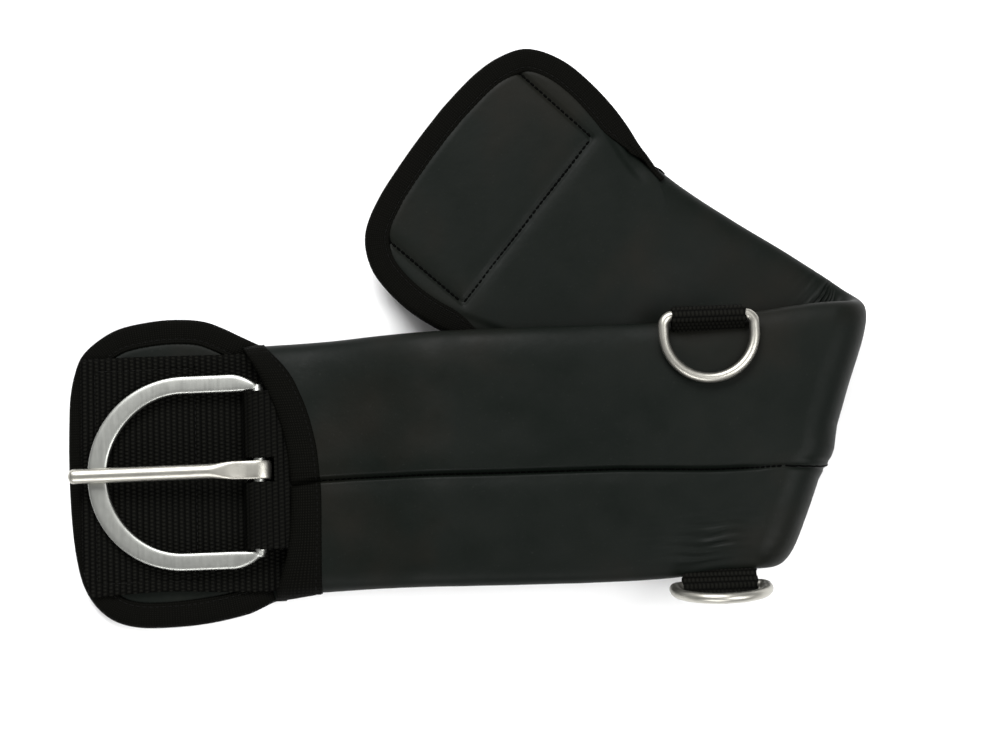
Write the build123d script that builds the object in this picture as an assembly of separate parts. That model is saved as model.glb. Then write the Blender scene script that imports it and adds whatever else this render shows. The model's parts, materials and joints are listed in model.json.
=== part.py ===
from build123d import *
import math
import os

# Padded neoprene cinch belt, folded once across its middle so that its two halves lie in a V.
# Units are millimetres. +Z is up and the belt lies on the plane Z = 0.
# The near half runs along +X. It lies over the far half, and its buckle faces up.
# The far half lies below, face down, and its buckle is underneath.
# Origin: on the ground plane, below the point of the near half that carries the two rings.

# strap
strap_width = 122.0
neoprene = 6.5
web_thick = 3.0
web_width = 117.0
strap_thick = 2 * neoprene + web_thick
mouth_thick = 20.0
edge_radius = 7.6

# end pads
pad_half_width = 74.5
pad_corner = 34.0
pad_first_x = 1.5
near_end_x = -1.8
far_end_x = -8.0
end_radius = 70.0
pad_end_x = 96.0
tape_thick = 0.8
tape_width = 12.0
mouth_tape = 15.0
web_start = 5.0

# layout of the fold
near_length = 357.0
far_length = 231.0
crease_angle = 72.0
inner_gap = 4.5
crease_gap = 0.15
side_shift = 12.0
far_turn = 5.4
straight_end = 100.0
rise_start = 103.0
rise_end = 186.0
taper_start = 110.0
taper_end = 160.0
far_pad_back = 20.2
ring_station = 312.0

# buckle
bar_x = 92.5
bar_radius = 3.0
bar_height = neoprene + web_thick + 2.0 + bar_radius + 0.1
frame_reach = 84.0
frame_half = 47.5
frame_band = 8.7
frame_thick = 3.8
frame_tilt = 2.0
loop_ply = 2.0
loop_width = 75.0
slot_width = 13.0
slot_back = 13.0
eye_radius = 5.0
eye_width = 8.3
tongue_radius = 3.0
tongue_reach = 93.0
fit_gap = 0.05

# rings
ring_wire = 2.5
ring_half = 21.85
ring_depth = 30.5
ring_bend = 4.2
tab_width = 35.0
tab_ply = 2.1
ring_out = 64.5
lower_ring_angle = 76.0

near_back = strap_thick + inner_gap
axis_height = strap_thick + inner_gap / 2
layer_radius = (strap_thick + inner_gap) / 2
crease = math.radians(crease_angle)
along = Vector(math.cos(crease), math.sin(crease), 0)
outward = Vector(math.sin(crease), -math.cos(crease), 0)
up = Vector(0, 0, 1)
origin_shift = Vector(-ring_station, 0, 0)
crease_point = Vector(near_length, 0, axis_height)
oblique = 1 / math.sin(crease)


def smooth(value):
    """A soft step from 0 to 1."""
    u = min(1.0, max(0.0, value))
    return u * u * (3 - 2 * u)


def pad_outline(inset, end_x):
    """The flared end of a half, from its bowed end to where it narrows to the strap."""
    corner = pad_corner - inset
    x = pad_first_x + pad_corner
    y = pad_half_width - pad_corner
    edges = (Pos(end_x + end_radius, 0) * Circle(end_radius - inset)).edges()
    for side in (1, -1):
        edges += (Pos(x, side * y) * Circle(corner)).edges()
        edges += (Pos(121, side * (strap_width / 2 - 15)) * Circle(15 - inset)).edges()
    return make_hull(edges)


def half_width(s):
    """Half the strap's width at a distance s from the pad's end."""
    flare = pad_half_width + 0.2 - (s - 38) * 0.163
    return max(strap_width / 2, flare)


def thickness(s):
    """The strap's thickness, which is more where the buckle's web enters it."""
    extra = 1 - smooth((s - taper_start) / (taper_end - taper_start))
    return strap_thick + (mouth_thick - strap_thick) * extra


def near_frame(s):
    """The middle of the near half's back face and the direction of the strap there."""
    z = near_back * smooth((s - rise_start) / (rise_end - rise_start))
    return Vector(s, 0, z), Vector(1, 0, 0), up


def far_frame(s):
    """The same for the far half, measured from its own pad end, with its back face up."""
    bent = far_length - straight_end
    t = min(far_length - s, bent)
    rate = math.radians(far_turn) / bent
    angle = 2 * crease
    start = crease_point + along * side_shift
    heading = angle - rate * t
    mean = angle - rate * t / 2
    rest = far_length - s - t
    x = start.X + t * math.cos(mean) + rest * math.cos(heading)
    y = start.Y + t * math.sin(mean) + rest * math.sin(heading)
    lift = (far_pad_back - strap_thick) * (1 - smooth((s - taper_start) / (taper_end - taper_start)))
    return Vector(x, y, strap_thick + lift), Vector(-math.cos(heading), -math.sin(heading), 0), -up


def station(frame, s, low, high, width, radius):
    """A rounded section across a half at s, from low to high above its back face."""
    back, forward, face = frame(s)
    plane = Plane(back + face * (low + high) / 2, x_dir=face.cross(forward), z_dir=forward)
    return plane * RectangleRounded(width, high - low, radius)


def crease_section(turn, width, height, radius, gap):
    """The section at the fold, turned about the crease from the near half (0) to the far half (180)."""
    angle = math.radians(turn)
    radial = up * math.cos(angle) + outward * math.sin(angle)
    forward = outward * math.cos(angle) - up * math.sin(angle)
    centre = crease_point + along * side_shift * (turn / 180) + radial * layer_radius
    plane = Plane(centre - outward * gap, x_dir=along, z_dir=forward)
    return plane * RectangleRounded(width * oblique, height, radius)


near_stations = [88, 97, 108, 121, 135, 148, 160, 172, 186, 320]
far_stations = [88, 97, 108, 121, 135, 148, 160, 180, 205]


def tube(frame, stations, turn, extra):
    """The outside of a half's sleeve from the pad to the fold."""
    sections = []
    for s in stations:
        width = 2 * (half_width(s) + extra)
        sections.append(station(frame, s, -extra, thickness(s) + extra, width, edge_radius + extra))
    if not extra:
        sections.append(crease_section(turn, strap_width, strap_thick, edge_radius, crease_gap))
    return loft(sections, ruled=True)


def core(frame, stations, turn, corner_cut):
    """The flat webbing that lies between the two layers of the sleeve."""
    first_width = web_width - 2 * corner_cut
    sections = [station(frame, web_start, neoprene, neoprene + web_thick, first_width, 0.4)]
    for s in [web_start + 8] + stations:
        sections.append(station(frame, s, neoprene, neoprene + web_thick, web_width, 0.4))
    sections.append(crease_section(turn, web_width, web_thick, 0.4, crease_gap))
    return loft(sections, ruled=True)


def mouth_curve(back_by):
    """The edge of the front flap, seen from its face, moved by a distance along the strap."""
    points = [(86, 72), (92, 58), (99.5, 38), (108, 8), (109, -20), (107, -42), (101, -62), (97, -72)]
    return [(x + back_by, y) for x, y in points]


def half_turn(width, height, radius):
    """The bend at the fold, from the near half round to the far half."""
    sections = [crease_section(turn, width, height, radius, 0) for turn in range(0, 181, 20)]
    return loft(sections, ruled=True)


def before_mouth(back_by, low, high):
    """Everything on the pad's side of the mouth, between two heights above the back face."""
    curve = Spline(*mouth_curve(back_by))
    start = curve @ 0
    end = curve @ 1
    corners = Polyline((start.X, start.Y), (-20, start.Y), (-20, end.Y), (end.X, end.Y))
    return Pos(0, 0, low) * extrude(make_face([curve, corners]), amount=high - low)


def end_solids(end_x):
    """The pad, its tape and the room for the webbing, with the pad's back at Z = 0."""
    keep = Pos(pad_end_x / 2 - 10, 0, 0) * Box(pad_end_x + 20, 200, 60)
    inner = extrude(pad_outline(tape_width, end_x), amount=neoprene)
    edge = extrude(pad_outline(tape_thick, end_x), amount=neoprene - tape_thick)
    edge = Pos(0, 0, tape_thick) * edge
    pad = (inner + edge) & keep
    ring = extrude(pad_outline(0, end_x), amount=neoprene + tape_thick)
    ring -= extrude(pad_outline(tape_width, end_x), amount=neoprene + tape_thick)
    ring -= Pos(web_start + 60, 0, neoprene + 5) * Box(120, web_width + 0.4, 10)
    tape_keep = Pos(88 / 2 - 10, 0, 0) * Box(88 + 20, 200, 60)
    tape = (ring & tape_keep) - pad
    return pad, tape


def loop_web():
    """The webbing that wraps round the buckle's bar and runs under the flap, with a slot for the tongue."""
    outer = Circle(bar_radius + fit_gap + loop_ply)
    profile = make_hull(outer.edges() + (Pos(19, -2.4) * Circle(loop_ply + 0.6)).edges())
    profile -= Circle(bar_radius + fit_gap)
    flat = Plane.XZ * profile
    body = extrude(flat, amount=loop_width / 2, both=True)
    slot_front = eye_radius + 2.5
    slot = Pos((slot_back - slot_front) / 2, 0, 0) * Box(slot_back + slot_front, slot_width, 30)
    return body - slot


def buckle_frame():
    """The flat horseshoe of the buckle with its round bar, about the bar's middle."""
    centre = -frame_reach + frame_half
    outer = Pos(centre, 0) * Circle(frame_half) + Pos(centre / 2, 0) * Rectangle(-centre, 2 * frame_half)
    inner_half = frame_half - frame_band
    inner = Pos(centre, 0) * Circle(inner_half)
    inner += Pos(centre / 2 + 5, 0) * Rectangle(-centre + 10, 2 * inner_half)
    flat = outer - inner - Pos(20, 0) * Rectangle(40, 110)
    for side in (1, -1):
        corner = Polygon((-28, side * 47.5), (3, side * 43.6), (3, side * 49), (-28, side * 49), align=None)
        flat -= corner
    band = Pos(0, 0, -frame_thick / 2) * extrude(flat, amount=frame_thick)
    rims = [e for e in band.edges().filter_by(Plane.XY) if e.center().X < -1]
    band = chamfer(rims, 0.7)
    bar = Rot(90, 0, 0) * Cylinder(bar_radius, 2 * 44.4)
    bar = fillet(bar.edges(), 1.2)
    return band + bar


def buckle_tongue():
    """The tongue, a round pin with an eye round the bar, about the bar's middle."""
    eye = Rot(90, 0, 0) * Cylinder(eye_radius, eye_width)
    pin_height = frame_thick / 2 + tongue_radius + 0.3
    pin = Pos(-tongue_reach / 2, 0, pin_height) * Rot(0, 90, 0) * Cylinder(tongue_radius, tongue_reach)
    tip = fillet(pin.edges().group_by(Axis.X)[0], 2.4)
    neck = Pos(-9, 0, 3.4) * Box(18, eye_width, 5.2)
    neck = fillet(neck.edges().filter_by(Axis.X), 1.6)
    hole = Rot(90, 0, 0) * Cylinder(bar_radius + fit_gap, 20)
    return eye + tip + neck - hole


def near_place(shape):
    """Puts a shape made in the pad's own frame on the near half."""
    return shape


def far_place(shape):
    """Puts a shape made in the pad's own frame on the far half."""
    back, forward, face = far_frame(0)
    return Plane(back, x_dir=forward, z_dir=face).location * shape


def at_bar(shape):
    """Puts a buckle piece at the bar, leaning so that its front rests on the webbing."""
    return Pos(bar_x, 0, bar_height) * Rot(0, -frame_tilt, 0) * shape


def d_ring():
    """A D of round wire: its bar lies along X through the origin, its arc points to -Y."""
    half = ring_half
    straight = ring_depth - ring_half
    arc = ThreePointArc((half, -straight), (0, -ring_depth), (-half, -straight))
    right_bend = FilletPolyline((0, 0), (half, 0), (half, -straight), radius=ring_bend)
    left_bend = FilletPolyline((-half, -straight), (-half, 0), (0, 0), radius=ring_bend)
    wire = Wire([*right_bend.edges(), *arc.edges(), *left_bend.edges()])
    section = Plane((0, 0, 0), z_dir=(1, 0, 0)) * Circle(ring_wire)
    return sweep(section, path=wire)


def ring_tab(bar_y, bar_z, root_y, root_z):
    """A folded web tab round a ring's bar, with its tail inside the sleeve."""
    loop = Pos(bar_y, bar_z) * Circle(ring_wire + fit_gap + tab_ply)
    tail = Pos(root_y, root_z) * Circle(tab_ply)
    profile = make_hull(loop.edges() + tail.edges()) - Pos(bar_y, bar_z) * Circle(ring_wire + fit_gap)
    flat = Plane(origin=(ring_station, 0, 0), x_dir=(0, 1, 0), z_dir=(1, 0, 0)) * profile
    return extrude(flat, amount=tab_width / 2, both=True)


parts = {}
for side, frame, place, stations, turn, corner_cut, end_x in (
    ("near", near_frame, near_place, near_stations, 0, 0.0, near_end_x),
    ("far", far_frame, far_place, far_stations, 180, 4.0, far_end_x),
):
    pad, pad_tape = end_solids(end_x)
    outside = tube(frame, stations, turn, 0)
    web = core(frame, stations, turn, corner_cut)
    open_pad = place(before_mouth(0, neoprene, 60))
    sleeve = (outside - open_pad) + place(pad) - web
    loop = place(Pos(bar_x, 0, bar_height) * loop_web())
    loop -= web
    sleeve -= loop
    skin = tube(frame, stations[:7], turn, tape_thick) - outside
    band = before_mouth(mouth_tape, neoprene + web_thick, 60) - before_mouth(-tape_thick, 0, 60)
    parts[side + "_sleeve"] = sleeve
    parts[side + "_core_web"] = web
    parts[side + "_pad_binding"] = place(pad_tape) - outside
    parts[side + "_mouth_binding"] = skin & place(band)
    parts[side + "_buckle_web"] = loop
    parts[side + "_buckle_frame"] = place(at_bar(buckle_frame()))
    parts[side + "_buckle_tongue"] = place(at_bar(buckle_tongue()))

fold_inside = half_turn(web_width, web_thick, 0.4)
parts["fold_sleeve"] = half_turn(strap_width, strap_thick, edge_radius) - fold_inside
parts["fold_core_web"] = fold_inside

strap_mid = near_back + strap_thick / 2
upper_z = near_back + strap_thick + ring_wire + 0.3
lower_z = strap_mid + 1.5
root_z = strap_mid + web_thick / 2 + tab_ply + 0.1
upper_tab = ring_tab(ring_out, upper_z, 56, root_z)
lower_tab = ring_tab(-ring_out, lower_z, -56, root_z)
parts["near_sleeve"] = parts["near_sleeve"] - upper_tab - lower_tab
parts["upper_ring_tab"] = upper_tab - parts["near_core_web"]
parts["lower_ring_tab"] = lower_tab - parts["near_core_web"]
parts["upper_ring"] = Pos(ring_station, ring_out, upper_z) * d_ring()
parts["lower_ring"] = Pos(ring_station, -ring_out, lower_z) * Rot(-lower_ring_angle, 0, 0) * d_ring()

os.makedirs("parts", exist_ok=True)
for name, shape in parts.items():
    export_step(Pos(origin_shift) * shape, "parts/" + name + ".step")
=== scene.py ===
import functools
import json
import math

import bpy
import numpy as np
from mathutils import Matrix, Vector


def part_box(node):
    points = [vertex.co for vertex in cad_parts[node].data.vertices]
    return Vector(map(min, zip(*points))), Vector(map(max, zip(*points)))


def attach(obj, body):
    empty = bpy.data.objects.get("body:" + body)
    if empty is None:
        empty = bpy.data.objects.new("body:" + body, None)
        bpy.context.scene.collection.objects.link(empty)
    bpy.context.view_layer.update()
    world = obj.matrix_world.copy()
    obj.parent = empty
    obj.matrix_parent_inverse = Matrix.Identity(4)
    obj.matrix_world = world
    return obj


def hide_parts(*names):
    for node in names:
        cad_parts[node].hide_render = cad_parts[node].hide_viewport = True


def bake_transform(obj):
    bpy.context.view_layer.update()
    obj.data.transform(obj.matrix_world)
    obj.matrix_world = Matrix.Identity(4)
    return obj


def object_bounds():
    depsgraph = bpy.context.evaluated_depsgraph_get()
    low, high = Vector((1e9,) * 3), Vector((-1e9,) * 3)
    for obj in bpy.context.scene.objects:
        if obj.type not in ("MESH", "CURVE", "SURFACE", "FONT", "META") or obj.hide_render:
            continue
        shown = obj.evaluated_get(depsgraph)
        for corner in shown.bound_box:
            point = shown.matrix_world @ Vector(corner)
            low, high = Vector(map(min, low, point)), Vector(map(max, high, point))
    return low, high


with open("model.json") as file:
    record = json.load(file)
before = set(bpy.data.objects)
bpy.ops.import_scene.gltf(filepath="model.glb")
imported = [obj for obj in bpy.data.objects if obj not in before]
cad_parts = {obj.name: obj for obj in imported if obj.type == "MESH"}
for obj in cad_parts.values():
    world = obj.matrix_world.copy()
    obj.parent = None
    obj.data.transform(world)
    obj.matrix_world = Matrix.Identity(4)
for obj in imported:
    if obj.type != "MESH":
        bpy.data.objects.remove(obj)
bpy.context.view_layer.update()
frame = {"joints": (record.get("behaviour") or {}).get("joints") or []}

# Lengths here are millimetres; MM turns them into the scene's metres.
MM = 0.001
FINE = 1.0
joints = {j["name"]: j for j in frame["joints"]}


def joint_point(name):
    return np.array(joints[name]["pos_m"]) * 1000


def joint_axis(name):
    return np.array(joints[name]["axis"], dtype=float)


def box_mm(node):
    low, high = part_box(node)
    return np.array(low) * 1000, np.array(high) * 1000


# ---------------------------------------------------------------- the belt's layout
# A place on a half is (s, y, h): s along it from its pad's end, y across it, h above its back face.
UP = np.array([0.0, 0.0, 1.0])
NEOPRENE = 6.5         # the pad's thickness
WEB = 3.0              # the wide web's thickness
STRAP = 16.0           # the closed sleeve's thickness
MOUTH_TOP = 20.0       # the sleeve's height at its mouth
HALF_WIDTH = 61.0      # half the strap's width
MOUTH = 104.0          # where the mouth's edge lies along the strap
WALL = 5.0             # how far behind the mouth's edge the sleeve steps up from the pad
TAPE = 12.0            # how far the edge tape covers the pad
WEB_HALF = 58.5        # half the wide web's width
WEB_START = 5.0        # from the pad's end to the wide web's end
BOX_SIDE = 52.0        # the box stitch on the wide web, across the strap
BOX_ENDS = 12.2, 61.2  # and along it
RIB = 2.9              # webbing: one rib to the next
FLOAT = 1.95           # and one float to the next along a rib

# The crease is the near hinge's axis. SHIFT is how far the far half's axis lies further along it.
CREASE = joint_point("fold_open")
ALONG = -joint_axis("fold_open")
OUTWARD = np.array([ALONG[1], -ALONG[0], 0.0])
SHIFT = float(np.dot(joint_point("far_open") - CREASE, ALONG))
OBLIQUE = 1 / ALONG[1]                               # along the crease for each mm across the strap
NEAR_BACK = box_mm("near_sleeve")[1][2] - STRAP      # the near half's back face, past its pad
LAYER_RADIUS = NEAR_BACK + STRAP / 2 - CREASE[2]     # of the strap's middle, round the bend
NEAR_X0 = box_mm("near_core_web")[0][0] - WEB_START
NEAR_LENGTH = CREASE[0] - NEAR_X0
FAR_Y = joint_axis("far_frame_lift")
FAR_X = np.cross(FAR_Y, -UP)
BAR_X = 92.5           # the buckle's bar, along the strap
BAR_H = joint_point("near_frame_lift")[2]
FAR_END = joint_point("far_frame_lift") - FAR_X * BAR_X + UP * BAR_H
FAR_LIFT = FAR_END[2] - STRAP
FAR_STRAIGHT = 100.0   # the far half runs straight up to here, then curves to meet the crease
FAR_LENGTH = 231.0


def smooth(value):
    """Eased from 0 to 1 while the value runs from 0 to 1."""
    u = np.clip(value, 0.0, 1.0)
    return u * u * (3 - 2 * u)


def bump(value, centre, width):
    """1 at the centre, and almost nothing two widths away."""
    return np.exp(-(((value - centre) / width) ** 2))


def unit(vectors):
    return vectors / (np.linalg.norm(vectors, axis=-1)[..., None] + 1e-12)


def travelled(points):
    """The distance run at each point of a path."""
    return np.concatenate([[0], np.cumsum(np.linalg.norm(np.diff(points, axis=0), axis=1))])


def joined(*coordinates):
    """Points from their coordinates, each an array or a number."""
    return np.stack(np.broadcast_arrays(*coordinates), axis=-1)


def uv_mm(along, across):
    return joined(along, across) * MM


def along_path(points, at):
    """The points of a path at some distances along it."""
    steps = travelled(points)
    return joined(*(np.interp(at, steps, column) for column in points.T))


def waves(a, b, size, seed):
    """Soft irregular waves of about that size, from -1 to 1, over two coordinates in mm."""
    rng = np.random.default_rng(seed)
    count = 7
    total = 0.0
    for _ in range(count):
        turn = rng.uniform(0, 2 * math.pi)
        freq = 2 * math.pi / (size * rng.uniform(0.7, 1.6))
        phase = rng.uniform(0, 2 * math.pi)
        total = total + np.sin(freq * (a * math.cos(turn) + b * math.sin(turn)) + phase)
    return total / count * 1.6


def thickness(s):
    """The sleeve's thickness, more towards its mouth."""
    return STRAP + (MOUTH_TOP - STRAP) * (1 - smooth((s - 110) / 50))


def curve_part(p0, p1, p2, p3, t):
    """The part of a smooth curve through four points that runs from the second to the third."""
    a = 2 * p1 + (p2 - p0) * t
    b = (2 * p0 - 5 * p1 + 4 * p2 - p3) * t ** 2
    c = (3 * p1 - p0 - 3 * p2 + p3) * t ** 3
    return (a + b + c) / 2


def curve_through(points, step):
    """A smooth line through some points, with points about a step apart."""
    points = np.asarray(points, float)
    p = np.vstack([2 * points[0] - points[1], points, 2 * points[-1] - points[-2]])
    t = np.linspace(0, 1, 12, endpoint=False)[:, None]
    rows = np.vstack([curve_part(*p[i:i + 4], t) for i in range(len(p) - 3)] + [points[-1:]])
    length = travelled(rows)[-1]
    return along_path(rows, np.linspace(0, length, int(length / step) + 1))


# Each pad's outline, from the tip of its bowed end to the strap: one side, then the other.
NEAR_SIDES = (
    [(-1.8, 14), (-1.5, 28), (-0.9, 40), (1.2, 51), (5, 60.5), (13, 68), (24, 73.8), (40, 76.8),
     (54, 77.3), (66, 75.8), (76, 71.8), (86, 66.7), (97, 63.2), (110, 61.8), (128, 62.1), (160, 62.8),
     (220, 63.2), (280, 63.1), (315, 62.4), (345, 61)],
    [(-1.8, 14), (-1.6, -2), (-0.6, -22), (1.4, -39), (4.8, -52.5), (11, -63), (20, -70.2), (32, -73.6),
     (48, -74), (64, -72.9), (80, -70.1), (94, -66.3), (106, -62.6), (118, -60.6), (136, -59.9),
     (165, -59.9), (205, -60.5), (245, -61)])
FAR_SIDES = (
    [(-8.3, -15), (-7.6, 3), (-6.2, 20), (-3.9, 38), (0.3, 53), (6.4, 62.2), (16.5, 69.2), (28, 72.4),
     (42, 73.6), (56, 72.4), (70, 69), (84, 64.4), (97, 61.6), (114, 61)],
    [(-8.3, -15), (-7.8, -28), (-6.6, -40), (-3.6, -51.5), (2.4, -62.6), (11, -68.6), (24, -72), (38, -72),
     (54, -69.9), (68, -66.4), (80, -62.2), (92, -59.8), (106, -59.5), (122, -60.4), (138, -61)])


def edge_distance(half, s, y):
    """How far a point of the pad lies inside the pad's outline."""
    edge = np.vstack(half.sides)[::3]
    near = (np.ravel(s)[:, None] - edge[:, 0]) ** 2 + (np.ravel(y)[:, None] - edge[:, 1]) ** 2
    return np.sqrt(near.min(axis=1)).reshape(np.shape(s))


def limits(half, s):
    """The strap's two edges at s."""
    high, low = half.sides
    return np.interp(s, low[:, 0], low[:, 1]), np.interp(s, high[:, 0], high[:, 1])


class Near:
    """The half whose buckle lies on top, as it lies in the photo."""
    body = "near"
    first = -1.8  # its pad's tip
    last = 320.0  # from here on it swings round from square across to lie along the crease
    length = NEAR_LENGTH
    sign = 1.0    # of y, against the near half's y
    turn = 0.0    # degrees about the crease
    sides = [curve_through(side, 0.5) for side in NEAR_SIDES]

    @staticmethod
    def flat(s, y, h):
        """The strap before the crease draws it round: straight, rising off the floor past its pad."""
        z = NEAR_BACK * smooth((s - 103) / (186 - 103))
        return joined(NEAR_X0 + s, y, z + h)


class Far:
    """The half that lies turned over, its buckle underneath."""
    body = "far"
    first = -8.3
    last = 205.0
    length = FAR_LENGTH
    sign = -1.0
    turn = 180.0
    sides = [curve_through(side, 0.5) for side in FAR_SIDES]

    @staticmethod
    def flat(s, y, h):
        """The strap curved in its plane from the crease, then straight, and lifted by its buckle."""
        bent = FAR_LENGTH - FAR_STRAIGHT
        t = np.minimum(FAR_LENGTH - s, bent)
        crease = math.atan2(ALONG[1], ALONG[0])
        last = math.atan2(-FAR_X[1], -FAR_X[0])
        rate = (2 * crease - last) / bent
        heading = 2 * crease - rate * t
        mean = 2 * crease - rate * t / 2
        rest = FAR_LENGTH - s - t
        start = CREASE + ALONG * SHIFT
        x = start[0] + t * np.cos(mean) + rest * np.cos(heading)
        z = STRAP + FAR_LIFT * (1 - smooth((s - 110) / 50)) - h
        yy = start[1] + t * np.sin(mean) + rest * np.sin(heading)
        return joined(x - np.sin(heading) * y, yy + np.cos(heading) * y, z)


def pulled(points):
    """Soft rubber at the fold: the bend is drawn in, most at its lower edge, and its top corner out."""
    v = (points - CREASE) @ ALONG
    d = -((points - CREASE) @ OUTWARD)
    places = [-70, -56, -40, -22, -12.0, -2.5, 4, 15, 32, 50, 68, 84]
    inward = np.interp(v, places, [12.6, 11.2, 10.1, 9.0, 8.2, 5.6, 5.2, 6.7, 6.2, 5.2, 4.4, 6.5])
    inward = inward * np.exp(-((np.maximum(d, 0) / 34) ** 2))
    corner = 8.5 * smooth((v - 4) / 58) * (1 - smooth(np.maximum(d, 0) / 95))
    return points - OUTWARD * inward[..., None] + ALONG * corner[..., None]


def on_half(half, s, y, h):
    """Where a place on a half lies in the model's frame."""
    s, y, h = np.broadcast_arrays(np.asarray(s, float), y, h)
    inner = half.flat(np.minimum(s, half.last), y, h)
    part = np.clip((s - half.last) / (half.length - half.last), 0, 1)[..., None]
    radial = UP if half is Near else -UP
    across = y * OBLIQUE * half.sign + SHIFT * half.turn / 180
    radius = LAYER_RADIUS + h - STRAP / 2
    crease = CREASE + ALONG * across[..., None] + radial * radius[..., None]
    return pulled(inner * (1 - part) + crease * part)


def on_fold(turn, y, h):
    """A point of the bend, turned about the crease by an angle in degrees from the near half."""
    turn, y, h = np.broadcast_arrays(np.asarray(turn, float), y, h)
    a = np.radians(turn)[..., None]
    radial = UP * np.cos(a) + OUTWARD * np.sin(a)
    across = SHIFT * turn / 180 + y * OBLIQUE
    radius = LAYER_RADIUS + h - STRAP / 2
    return pulled(CREASE + ALONG * across[..., None] + radial * radius[..., None])


# ---------------------------------------------------------------- mesh helpers
def make_mesh(name, points, faces, material, uv=None):
    mesh = bpy.data.meshes.new(name)
    mesh.from_pydata((np.asarray(points).reshape(-1, 3) * MM).tolist(), [], faces)
    mesh.update()
    mesh.polygons.foreach_set("use_smooth", [True] * len(mesh.polygons))
    if uv is not None:
        layer = mesh.uv_layers.new(name="along")
        index = np.zeros(len(mesh.loops), dtype=int)
        mesh.loops.foreach_get("vertex_index", index)
        layer.data.foreach_set("uv", np.asarray(uv).reshape(-1, 2)[index].ravel())
    mesh.materials.append(material)
    obj = bpy.data.objects.new(name, mesh)
    bpy.context.scene.collection.objects.link(obj)
    return obj


def grid_faces(rows, columns, wrap=False, wrap_rows=False):
    faces = []
    for i in range(rows if wrap_rows else rows - 1):
        below = i * columns
        above = ((i + 1) % rows) * columns
        for j in range(columns if wrap else columns - 1):
            k = (j + 1) % columns
            faces.append((below + j, below + k, above + k, above + j))
    return faces


def turned(faces):
    return [face[::-1] for face in faces]


def ring_mesh(name, rings, material, uv=None, closed=False):
    """A skin over rings of points, one ring after another."""
    rows, columns = rings.shape[:2]
    faces = grid_faces(rows, columns, wrap=True, wrap_rows=closed)
    if not closed:
        faces.append(tuple(range(columns))[::-1])
        faces.append(tuple((rows - 1) * columns + j for j in range(columns)))
    return make_mesh(name, rings, faces, material, uv)


def spread(low, high, step):
    count = max(2, int(round((high - low) / (step * FINE))) + 1)
    return np.linspace(low, high, count)


def evenly(points, step):
    """Evenly spaced points along a path, with their distances along it."""
    points = np.asarray(points, float)
    at = spread(0, travelled(points)[-1], step)
    return along_path(points, at), at


def normals_of(path):
    """The direction square to a flat path, at each point."""
    tangent = unit(np.gradient(path, axis=0))
    return joined(-tangent[:, 1], tangent[:, 0])


def thicken(piece, thick, offset):
    """Gives a web woven as one face its back face and edges."""
    solid = piece.modifiers.new("thickness", "SOLIDIFY")
    solid.thickness = thick * MM
    solid.offset = offset
    return piece


# ---------------------------------------------------------------- cross-section of the strap
# A ring round the strap runs over its front from one edge to the other, then back under it.
FRONT_COUNT = int(172 / FINE)
BACK_COUNT = int(150 / FINE)


def clustered(count):
    """Fractions from 0 to 1 across the front, closer together near the closing seam."""
    t = np.linspace(0, 1, 2000)
    density = 1 + 4.0 * bump(t, 0.46, 0.05)
    total = np.cumsum(density)
    total = (total - total[0]) / (total[-1] - total[0])
    return np.interp(np.linspace(0, 1, count), total, t)


def half_ring(fractions):
    """One side of a flat rounded section: places across it from -1 to 1 and how far it has risen."""
    a = np.linspace(-math.pi / 2, math.pi / 2, 2000)
    across = np.sin(a)
    rise = (1 - np.abs(across) ** 9) ** 0.5
    length = travelled(joined(across * HALF_WIDTH, rise * 9))
    at = fractions * length[-1]
    return np.interp(at, length, across), np.interp(at, length, rise)


FRONT_Y, FRONT_RISE = half_ring(clustered(FRONT_COUNT))
BACK_Y, BACK_RISE = half_ring(np.linspace(0, 1, BACK_COUNT)[1:-1])
UNIT_Y = np.concatenate([FRONT_Y, BACK_Y[::-1]])
UNIT_RISE = np.concatenate([FRONT_RISE, BACK_RISE[::-1]])
COLUMNS = len(UNIT_Y)
IS_FRONT = np.arange(COLUMNS) < FRONT_COUNT


def mouth_at(y):
    """Where the flap's mouth lies for each y, as a distance along the strap."""
    ys = [-74, -56, -48.5, -36.6, -14, 1.3, 16.6, 32, 47.8, 57.3, 74]
    return np.interp(y, ys, [95, 100.9, 104.1, 107.4, 109.1, 108.6, 106.3, 101.4, 94.1, 88.2, 80])


def band_at(y):
    """Where the tape on the mouth ends."""
    ys = [-74, -60, -37, -15, 8, 24, 36, 47, 55, 62, 74]
    return np.interp(y, ys, [120.8, 121.4, 122.3, 122.9, 121.5, 118.1, 113.8, 108.8, 102.1, 94.6, 88])


def evened(line, y):
    """A line softened over about 12 mm of the strap's width."""
    return sum(line(y + d) for d in (-6, -4, -2, 0, 2, 4, 6)) / 7


def seam_line(s):
    """The closing seam's place across the strap."""
    return np.interp(s, [97, 122, 140, 199, 267, 294, 318, 342, 357, 368],
                     [-10, -6.6, -6.4, -7.3, -7.7, -8.9, -10.5, -11.7, -11.6, -9.6])


def seam_groove(s, y, side):
    """Two edges sewn together: a sharp groove between them, one edge a little prouder than the other."""
    line = seam_line(s) * side
    groove = -2.3 * bump(y, line, 0.95) - 0.9 * bump(y, line, 5.5)
    upper = 0.75 * smooth(((y - line) * side - 0.4) / 2.2) * bump(y, line, 26)
    return groove + upper


# The box stitch through the far pad, as it shows on the pad's back.
BACK_BOX = [(9.5, 53.0), (62.2, 54.1), (58.7, -50.2), (5.5, -53.2)]


def box_stitch_distance(s, y):
    nearest = np.full(np.shape(s), 99.0)
    for (s0, y0), (s1, y1) in zip(BACK_BOX, BACK_BOX[1:]):
        ds, dy = s1 - s0, y1 - y0
        t = np.clip(((s - s0) * ds + (y - y0) * dy) / (ds * ds + dy * dy), 0, 1)
        nearest = np.minimum(nearest, np.hypot(s - s0 - t * ds, y - y0 - t * dy))
    return nearest


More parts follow.
